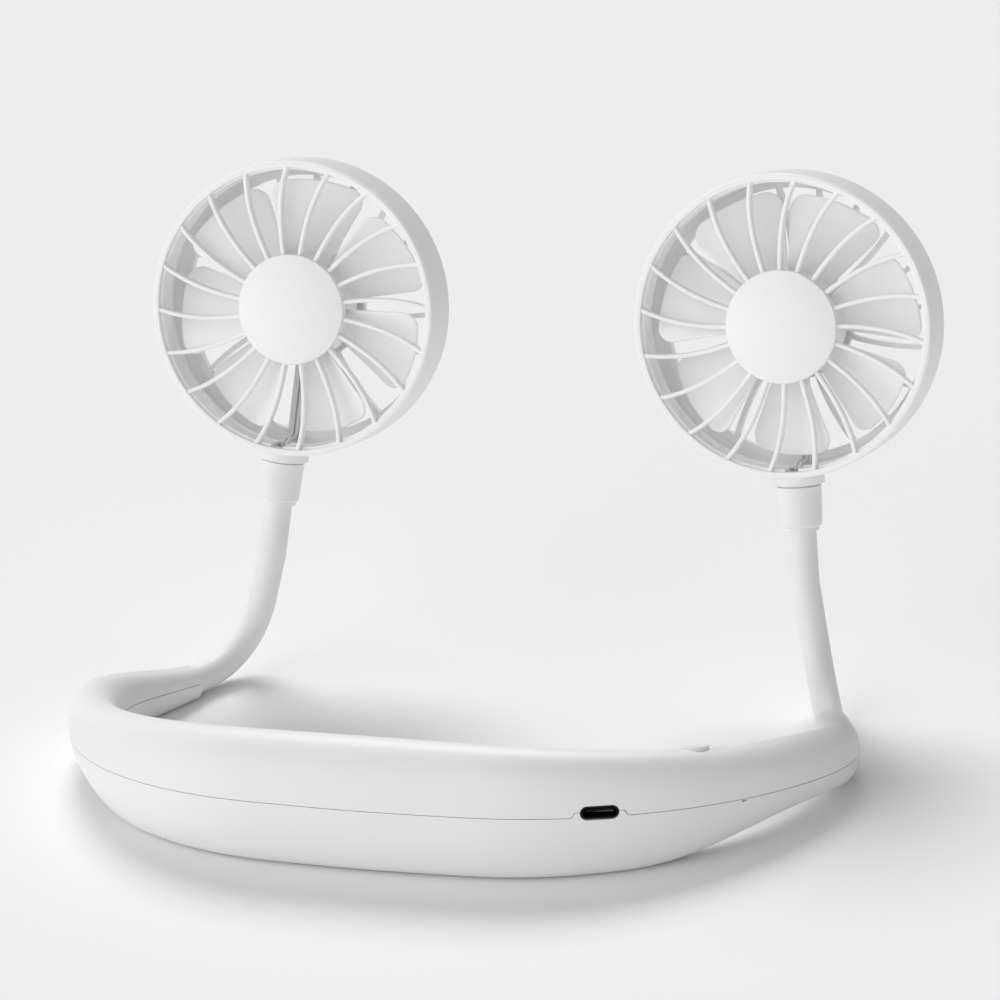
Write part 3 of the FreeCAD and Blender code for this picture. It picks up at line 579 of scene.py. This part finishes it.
def cap_outline():
    """Half section of the domed cap, from its middle."""
    rim = head_front - cap_rim
    back = head_front + cap_thickness
    dome_radius = (cap_radius ** 2 + cap_dome ** 2) / (2 * cap_dome)
    dome_middle = rim + math.sqrt(dome_radius ** 2 - cap_radius ** 2)
    dome = []
    for k in range(1, cap_dome_steps):
        radius = cap_radius * math.sin(math.pi / 2 * k / cap_dome_steps)
        dome.append((radius, dome_middle - math.sqrt(dome_radius ** 2 - radius ** 2)))
    side = rounded_outline([dome[-1], (cap_radius, rim), (cap_radius, back), (0.0, back)],
                           [0, cap_edge, small_edge, 0])
    return [(0.0, rim - cap_dome)] + dome[:-1] + side


def grille_frame_mesh():
    """Ring, skirt and cap of a front grille; the skirt is open where the leads pass."""
    points = []
    faces = []
    skirt = head_radius - drum_wall - skirt_clearance
    notch_deg = math.degrees(lead_notch / 2 / skirt)
    turned_faces(points, faces, ring_outline())
    turned_faces(points, faces, skirt_outline(skirt), lead_notch_place_deg + notch_deg,
                 lead_notch_place_deg + 360 - notch_deg)
    turned_faces(points, faces, cap_outline())
    return mesh_of("grille_frame", points, faces)


def paddle_mesh():
    """One paddle: a twisted sheet with round corners and rounded edges."""
    root = hub_radius - paddle_bury
    low = root - paddle_bury
    high = paddle_tip_radius + paddle_bury
    half_span = math.radians(paddle_half_span_deg)
    corner_place = paddle_tip_radius - paddle_corner_radius
    corner_turn = half_span - math.asin(paddle_corner_radius / corner_place)
    tangent = math.sqrt(corner_place ** 2 - paddle_corner_radius ** 2)
    root_pitch = math.radians(paddle_root_pitch_deg)
    tip_pitch = math.radians(paddle_tip_pitch_deg)
    points = []
    faces = []
    for face_side in (-1, 1):
        for j in range(paddle_along + 1):
            radius = root + (paddle_tip_radius - root) * math.sin(math.pi / 2 * j / paddle_along)
            half = half_span
            if radius > tangent:
                reach = radius ** 2 + corner_place ** 2 - paddle_corner_radius ** 2
                half = corner_turn + math.acos(min(1.0, reach / (2 * radius * corner_place)))
            for i in range(paddle_across + 1):
                share = math.sin(math.pi / 2 * (2 * i / paddle_across - 1))
                x = radius * math.sin(half * share)
                z = radius * math.cos(half * share)
                mix = (z - low) / (high - low)
                rise = (1 - mix) * math.sin(root_pitch) + mix * math.sin(tip_pitch)
                run = (1 - mix) * math.cos(root_pitch) + mix * math.cos(tip_pitch)
                inset = min(radius * half * (1 - abs(share)), paddle_tip_radius - radius, paddle_edge)
                thick = paddle_thickness / 2 * math.sqrt(max(0.0, 1 - (1 - inset / paddle_edge) ** 2))
                offset = face_side * thick / math.hypot(rise, run)
                points.append((x - offset * rise, paddle_middle + x * rise / run + offset * run, z))
    across = paddle_across + 1
    sheet = across * (paddle_along + 1)
    for j in range(paddle_along):
        for i in range(paddle_across):
            k = j * across + i
            faces.append((k, k + 1, k + across + 1, k + across))
            faces.append((sheet + k, sheet + k + across, sheet + k + across + 1, sheet + k + 1))
    for i in range(paddle_across):
        faces.append((i, sheet + i, sheet + i + 1, i + 1))
    return mesh_of("paddle", points, faces)


def hub_mesh():
    """Cup-shaped hub of an impeller, open at the back."""
    points = []
    faces = []
    floor = hub_front + hub_front_wall
    inner = hub_radius - hub_wall
    turned_faces(points, faces, rounded_outline(
        [(0.0, hub_front), (hub_radius, hub_front), (hub_radius, hub_rear), (inner, hub_rear), (inner, floor),
         (0.0, floor)],
        [0, hub_edge, small_edge, small_edge, small_edge, 0]))
    return mesh_of("impeller_hub", points, faces)


# Geometry trees


def copies_round_axis(tree, geometry, count, phase):
    """Copies of a geometry turned round the Z axis by equal steps."""
    points = add_node(tree, "GeometryNodePoints", Count=count).outputs[0]
    index = tree.nodes.new("GeometryNodeInputIndex").outputs[0]
    step = math_node(tree, "DIVIDE", math.tau, count)
    turn = math_node(tree, "ADD", math_node(tree, "MULTIPLY", index, step), phase)
    rotation = add_node(tree, "ShaderNodeCombineXYZ", Z=turn).outputs[0]
    placed = add_node(tree, "GeometryNodeInstanceOnPoints", Points=points, Instance=geometry,
                      Rotation=rotation).outputs[0]
    return add_node(tree, "GeometryNodeRealizeInstances", Geometry=placed).outputs[0]


def finished(tree, geometry, material, result):
    """Shades a geometry smooth, gives it its material and hands it to the tree's result."""
    smooth = add_node(tree, "GeometryNodeSetShadeSmooth", Geometry=geometry, Shade_Smooth=True).outputs[0]
    painted = add_node(tree, "GeometryNodeSetMaterial", Geometry=smooth, Material=material).outputs[0]
    tree.links.new(painted, result[0])


def swirl_ribs_tree():
    """Ribs that leave the cap and lean over towards the ring, with a rounded section, in the plane X Y."""
    tree, given, result = geometry_tree("swirl_ribs", ("Count", "Steps"), (
        "Inner Radius", "Outer Radius", "Sweep", "Bend Share", "Width", "Depth", "Edge", "Phase",
        "Root Scale", "Tip Scale"))
    line = add_node(tree, "GeometryNodeCurvePrimitiveLine", Start=(0, 0, 0), End=(1, 0, 0)).outputs[0]
    line = add_node(tree, "GeometryNodeResampleCurve", Curve=line, Count=given["Steps"]).outputs[0]
    place = tree.nodes.new("GeometryNodeInputPosition").outputs[0]
    share = add_node(tree, "ShaderNodeSeparateXYZ", Vector=place).outputs["X"]
    flare = math_node(tree, "SUBTRACT", given["Tip Scale"], given["Root Scale"])
    scale = math_node(tree, "ADD", given["Root Scale"], math_node(tree, "MULTIPLY", flare, share))
    line = add_node(tree, "GeometryNodeSetCurveRadius", Curve=line, Radius=scale).outputs[0]
    span = math_node(tree, "SUBTRACT", given["Outer Radius"], given["Inner Radius"])
    radius = math_node(tree, "ADD", given["Inner Radius"], math_node(tree, "MULTIPLY", span, share))
    # The lean is a parabola: none at the cap, the bend share of the sweep half way, all of it at the ring
    fourfold = math_node(tree, "MULTIPLY", given["Bend Share"], 4.0)
    straight = math_node(tree, "MULTIPLY", share, math_node(tree, "SUBTRACT", fourfold, 1.0))
    square = math_node(tree, "MULTIPLY", share, share)
    curved = math_node(tree, "MULTIPLY", square, math_node(tree, "SUBTRACT", 2.0, fourfold))
    angle = math_node(tree, "MULTIPLY", math_node(tree, "ADD", straight, curved), given["Sweep"])
    x = math_node(tree, "MULTIPLY", radius, math_node(tree, "SINE", angle))
    y = math_node(tree, "MULTIPLY", radius, math_node(tree, "COSINE", angle))
    swirl = add_node(tree, "ShaderNodeCombineXYZ", X=x, Y=y).outputs[0]
    line = add_node(tree, "GeometryNodeSetPosition", Geometry=line, Position=swirl).outputs[0]
    line = add_node(tree, "GeometryNodeSetCurveNormal", {"mode": "Z_UP"}, Curve=line).outputs[0]
    section = add_node(tree, "GeometryNodeCurvePrimitiveQuadrilateral", Width=given["Width"],
                       Height=given["Depth"]).outputs[0]
    section = add_node(tree, "GeometryNodeFilletCurve", {"mode": "POLY"}, Curve=section, Radius=given["Edge"],
                       Count=rib_edge_steps).outputs[0]
    rib = add_node(tree, "GeometryNodeCurveToMesh", Curve=line, Profile_Curve=section,
                   Fill_Caps=True).outputs[0]
    ribs = copies_round_axis(tree, rib, given["Count"], given["Phase"])
    finished(tree, ribs, given["Material"], result)
    return tree


def copies_tree():
    """The object's own mesh, copied round the Z axis."""
    tree, given, result = geometry_tree("copies_round_axis", ("Count",), ("Phase",))
    copied = copies_round_axis(tree, given["Geometry"], given["Count"], given["Phase"])
    finished(tree, copied, given["Material"], result)
    return tree


def tube_tree():
    """A round tube along the object's own chain of edges."""
    tree, given, result = geometry_tree("tube_on_path", ("Around",), ("Radius",))
    path = add_node(tree, "GeometryNodeMeshToCurve", Mesh=given["Geometry"]).outputs[0]
    circle = add_node(tree, "GeometryNodeCurvePrimitiveCircle", Resolution=given["Around"],
                      Radius=given["Radius"]).outputs[0]
    tube = add_node(tree, "GeometryNodeCurveToMesh", Curve=path, Profile_Curve=circle,
                    Fill_Caps=True).outputs[0]
    whole = add_node(tree, "GeometryNodeRealizeInstances", Geometry=tube).outputs[0]
    finished(tree, whole, given["Material"], result)
    return tree


swirl_ribs = swirl_ribs_tree()
copies = copies_tree()
tube_on_path = tube_tree()


# Pieces


def plain_object(name, mesh):
    """An object at the origin that shows a mesh."""
    piece = bpy.data.objects.new(name, mesh)
    scene.collection.objects.link(piece)
    return piece


def grown(mesh, tree, **values):
    """The plain mesh that a geometry tree makes of a mesh, with the tree's inputs set by name."""
    piece = plain_object("growing", mesh)
    add_tree(piece, tree, **values)
    view = bpy.context.evaluated_depsgraph_get()
    made = bpy.data.meshes.new_from_object(piece.evaluated_get(view), preserve_all_data_layers=True,
                                           depsgraph=view)
    bpy.data.objects.remove(piece)
    return made


def joined(name, meshes, material, matrix):
    """One object of several meshes, moved into place, welded and shaded smooth but for its real edges."""
    whole = bmesh.new()
    for mesh in meshes:
        whole.from_mesh(mesh)
    bmesh.ops.transform(whole, matrix=matrix, verts=whole.verts)
    bmesh.ops.remove_doubles(whole, verts=whole.verts, dist=piece_weld * mm)
    bmesh.ops.dissolve_degenerate(whole, dist=piece_sliver * mm, edges=whole.edges)
    bmesh.ops.recalc_face_normals(whole, faces=whole.faces)
    mesh = bpy.data.meshes.new(name)
    whole.to_mesh(mesh)
    whole.free()
    mesh.materials.clear()
    mesh.materials.append(material)
    mesh.polygons.foreach_set("material_index", [0] * len(mesh.polygons))
    mesh.polygons.foreach_set("use_smooth", [True] * len(mesh.polygons))
    mesh.set_sharp_from_angle(angle=math.radians(piece_sharp_deg))
    return plain_object(name, mesh)


def add_grille(side):
    """The front grille: its ring, skirt and cap, and the swirled ribs between them."""
    name = sides[side]
    seed_point = mesh_of("seed_point", [(0, 0, 0)], [])
    ribs = grown(seed_point, swirl_ribs, Count=rib_count, Inner_Radius=cap_radius - rib_width,
                 Outer_Radius=head_radius - ring_width + rib_ring_lap, Sweep=math.radians(rib_sweep_deg),
                 Bend_Share=rib_bend_share, Width=rib_width, Depth=rib_depth, Edge=rib_edge,
                 Phase=math.radians(-rib_phase_deg), Steps=rib_steps, Root_Scale=rib_root_scale,
                 Tip_Scale=rib_tip_scale, Material=finish["grille_white"])
    ribs.transform(Matrix.Translation((0, head_front + rib_set_back + rib_depth / 2, 0)) @ front_up)
    grille = joined(name + "_swirl_grille", [grille_frame_mesh(), ribs], finish["grille_white"],
                    head_matrix(side))
    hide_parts(name + "_front_grille")
    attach(grille, name + "_head")


def add_impeller(side):
    """The impeller: its hub and the paddles round it."""
    name = sides[side]
    paddle = paddle_mesh()
    paddle.transform(front_up.inverted())
    paddles = grown(paddle, copies, Count=paddle_count, Phase=math.radians(-paddle_phase_deg[side]),
                    Material=finish["blade_white"])
    paddles.transform(front_up)
    wheel = joined(name + "_paddle_wheel", [hub_mesh(), paddles], finish["blade_white"], head_matrix(side))
    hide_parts(name + "_impeller")
    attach(wheel, name + "_fan")


def add_sleeve(side):
    """The gooseneck's sleeve in two spans, split on the straight run between its two bends."""
    name = sides[side]
    neck = neck_corners(side)
    path, arcs = rounded_path([neck["start"], neck["knee"], neck["crook"], neck["end"]],
                              (neck_knee_radius, neck_crook_radius), neck_step)
    knee_end = arcs[0][1]
    crook_start = arcs[1][0]
    split_place = knee_end.lerp(crook_start, sleeve_split_share)
    split = min(range(len(path)), key=lambda i: (path[i] - split_place).length)
    made = {}
    for span, run in (("lower", path[:split + 1]), ("upper", path[split:])):
        chain = mesh_of("sleeve_path", run, [], [(i, i + 1) for i in range(len(run) - 1)])
        tube = grown(chain, tube_on_path, Radius=neck_diameter / 2, Around=neck_around,
                     Material=finish["sleeve_silicone"])
        made[span] = joined(name + "_sleeve_" + span, [tube], finish["sleeve_silicone"], Matrix.Scale(mm, 4))
        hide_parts(name + "_sleeve", name + "_bend_core", name + "_motor_leads")
    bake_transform(made["lower"])
    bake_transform(made["upper"])


for side in sides:
    add_grille(side)
    add_impeller(side)
    add_sleeve(side)


# Studio


def add_camera():
    """The photo's camera."""
    data = bpy.data.cameras.new("photo_camera")
    data.lens = camera_lens
    data.sensor_width = camera_sensor
    data.clip_end = camera_reach_m
    camera = bpy.data.objects.new("photo_camera", data)
    azimuth = math.radians(camera_azimuth_deg)
    fall = math.radians(camera_fall_deg)
    roll = math.radians(camera_roll_deg)
    forward = Vector((-math.sin(azimuth) * math.cos(fall), math.cos(azimuth) * math.cos(fall),
                      -math.sin(fall)))
    level = Vector((math.cos(azimuth), math.sin(azimuth), 0))
    over = level.cross(forward)
    right = level * math.cos(roll) + over * math.sin(roll)
    above = over * math.cos(roll) - level * math.sin(roll)
    turn = Matrix((right, above, -forward)).transposed().to_4x4()
    camera.matrix_world = Matrix.Translation(camera_place) @ turn
    scene.collection.objects.link(camera)
    scene.camera = camera


def add_sun(name, strength, angle_deg, height_deg, side_deg):
    """A soft lamp at a height above the floor, turned sideways from the camera's direction."""
    data = bpy.data.lights.new(name, "SUN")
    data.energy = strength
    data.angle = math.radians(angle_deg)
    lamp = bpy.data.objects.new(name, data)
    bearing = math.radians(camera_azimuth_deg + side_deg)
    height = math.radians(height_deg)
    towards_lamp = Vector((math.sin(bearing) * math.cos(height), -math.cos(bearing) * math.cos(height),
                           math.sin(height)))
    lamp.rotation_euler = towards_lamp.to_track_quat("Z", "Y").to_euler()
    scene.collection.objects.link(lamp)


def add_floor():
    """A wide sheet of paper just under the object."""
    half = floor_size_m / 2
    level = -floor_drop * mm
    corners = [(-half, -half, level), (half, -half, level), (half, half, level), (-half, half, level)]
    floor = plain_object("studio_floor", mesh_of("studio_floor", corners, [(0, 1, 2, 3)]))
    paint(floor, finish["studio_paper"])


def set_world():
    """An even dome of light, and plain colours in the picture."""
    world = bpy.data.worlds.new("studio_dome")
    world.use_nodes = True
    background = world.node_tree.nodes["Background"]
    background.inputs["Color"].default_value = (dome_grey, dome_grey, dome_grey, 1.0)
    background.inputs["Strength"].default_value = dome_strength
    scene.world = world
    scene.view_settings.view_transform = "Standard"


add_camera()
for name, lamp in lamps.items():
    add_sun(name, **lamp)
add_floor()
set_world()
